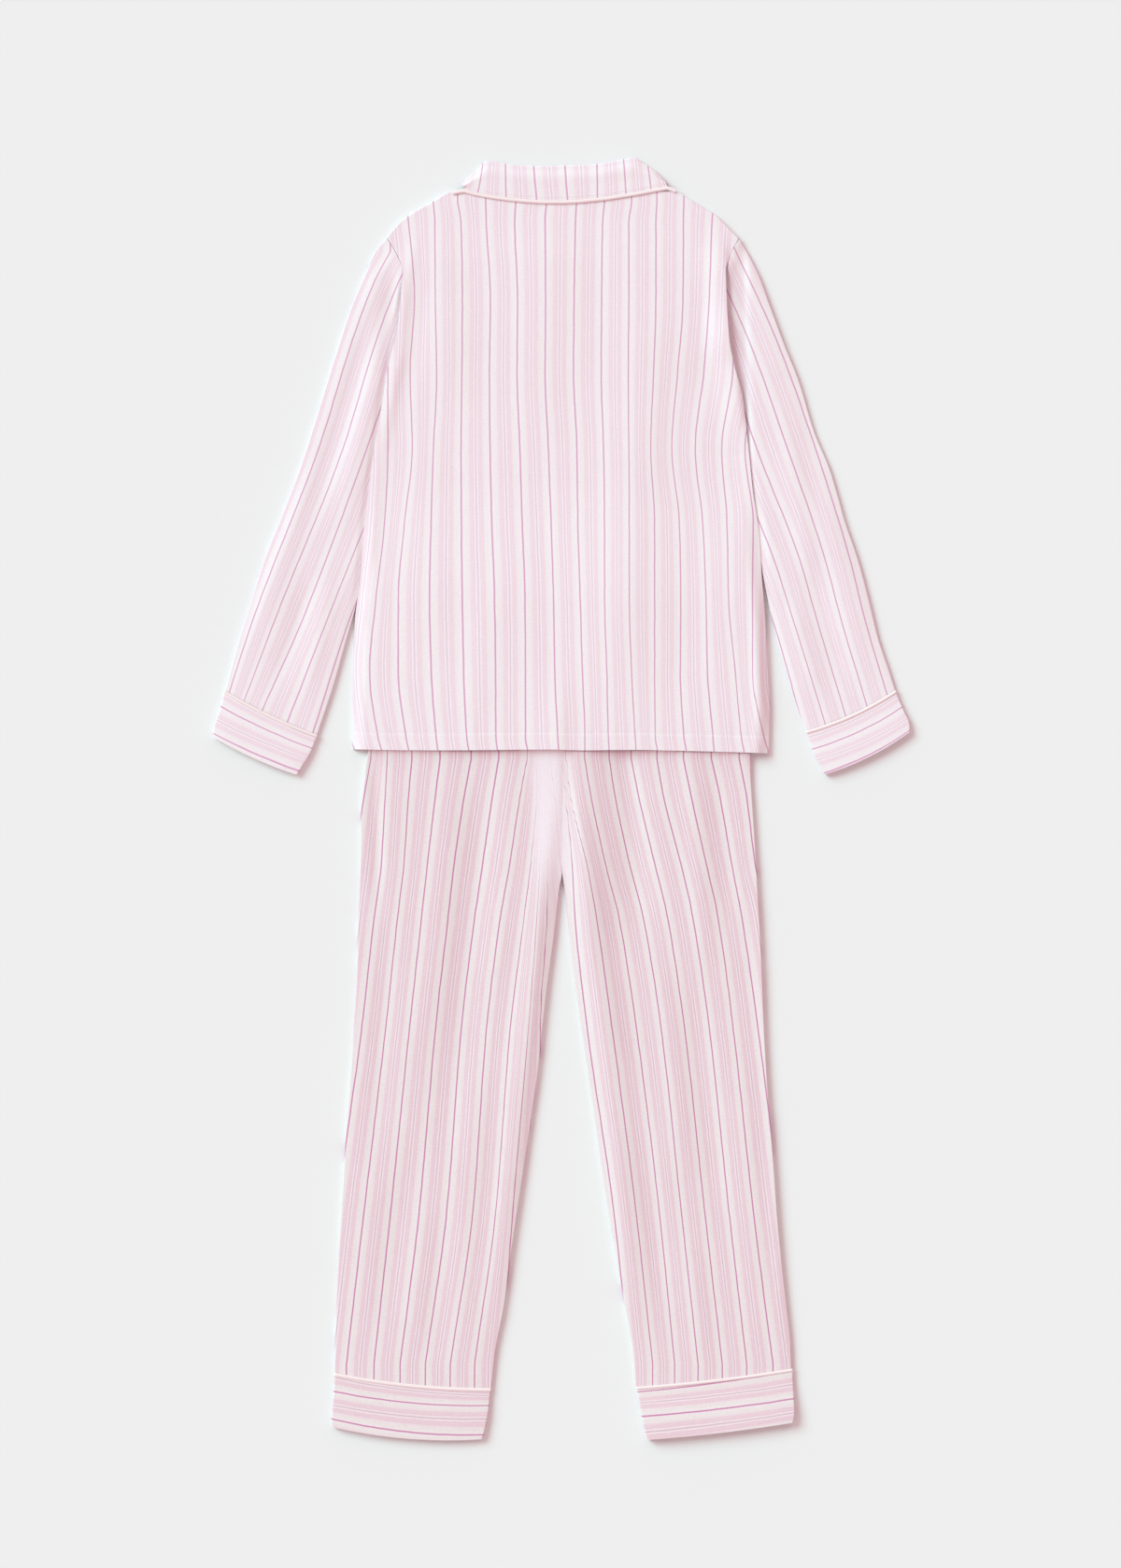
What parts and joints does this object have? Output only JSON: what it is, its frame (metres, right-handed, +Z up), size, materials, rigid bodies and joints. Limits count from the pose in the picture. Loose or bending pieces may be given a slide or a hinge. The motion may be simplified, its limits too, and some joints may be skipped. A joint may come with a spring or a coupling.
{
  "type": "pyjama set",
  "caption": "Child's striped cotton pyjamas laid flat with their backs up: a long-sleeved shirt with a collar and piped cuffs, lying over the top of matching trousers.",
  "frame": {"origin": "middle of the laid-out set's outline from above, on the surface that it lies on", "axes": "+Y runs from the trouser cuffs to the collar, +Z up from the surface, and +X to the right of a viewer who looks down with the collar at the top, which is the wearer's right"},
  "size_m": [0.708, 1.3038, 0.0123],
  "materials": {
    "striped_cloth": "brushed",
    "piping": "matt",
    "button": "satin"
  },
  "bodies": {
    "root": {"button_1": "button", "button_2": "button", "button_3": "button", "button_4": "button", "button_5": "button", "collar": "striped_cloth", "collar_leaf_left": "striped_cloth", "collar_leaf_right": "striped_cloth", "collar_piping": "piping", "leg_cuff_left": "striped_cloth", "leg_cuff_right": "striped_cloth", "leg_piping_left": "piping", "leg_piping_right": "piping", "shirt_back": "striped_cloth", "shirt_front_left": "striped_cloth", "shirt_front_right": "striped_cloth", "sleeve_cuff_left": "striped_cloth", "sleeve_cuff_right": "striped_cloth", "sleeve_left": "striped_cloth", "sleeve_piping_left": "piping", "sleeve_piping_right": "piping", "sleeve_right": "striped_cloth", "trouser_back_left": "striped_cloth", "trouser_back_right": "striped_cloth", "trouser_front_left": "striped_cloth", "trouser_front_right": "striped_cloth", "waistband": "striped_cloth"}
  },
  "joints": []
}
